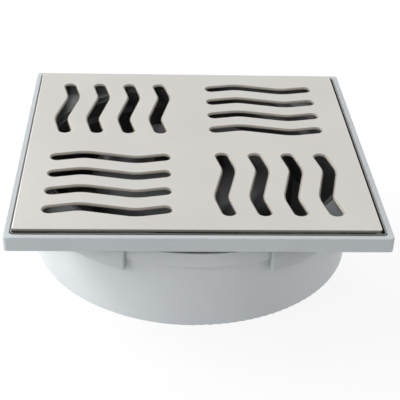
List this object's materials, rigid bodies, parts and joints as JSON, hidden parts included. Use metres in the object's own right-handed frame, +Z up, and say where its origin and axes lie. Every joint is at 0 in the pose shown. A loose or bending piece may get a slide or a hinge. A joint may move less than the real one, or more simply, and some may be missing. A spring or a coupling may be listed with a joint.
{
  "type": "floor drain",
  "caption": "Square shower floor drain: a lift-out plate with wave-shaped slots in a turnable frame on a round pot with a water trap and a bottom spigot.",
  "frame": {"origin": "centre of the outlet spigot's lower end, on the drain's vertical axis", "axes": "+Z up along the drain's axis, towards the cover plate; X and Y along the square frame's sides"},
  "size_m": [0.15, 0.15, 0.0798],
  "materials": {
    "stainless_steel": "fine brushed, satin",
    "grey_plastic": "smooth moulded, slightly satin",
    "light_grey_plastic": "smooth moulded, slightly satin",
    "black_plastic": "glossy moulded",
    "black_rubber": "soft, dull"
  },
  "bodies": {
    "pot_body": {"pot": "light_grey_plastic", "frame_ring": "black_rubber", "trap_cup": "black_plastic", "trap_seal": "black_rubber", "trap_bell": "black_plastic"},
    "frame_body": {"top_frame": "grey_plastic", "steel_liner": "stainless_steel", "cover_plate": "stainless_steel", "plate_pad_front_left": "black_rubber", "plate_pad_front_right": "black_rubber", "plate_pad_back_left": "black_rubber", "plate_pad_back_right": "black_rubber"}
  },
  "joints": [
    {"name": "frame_turn", "type": "hinge", "parent": "pot_body", "child": "frame_body", "pos_m": [0, 0, 0.0619], "axis": [0, 0, 1], "continuous": true}
  ]
}
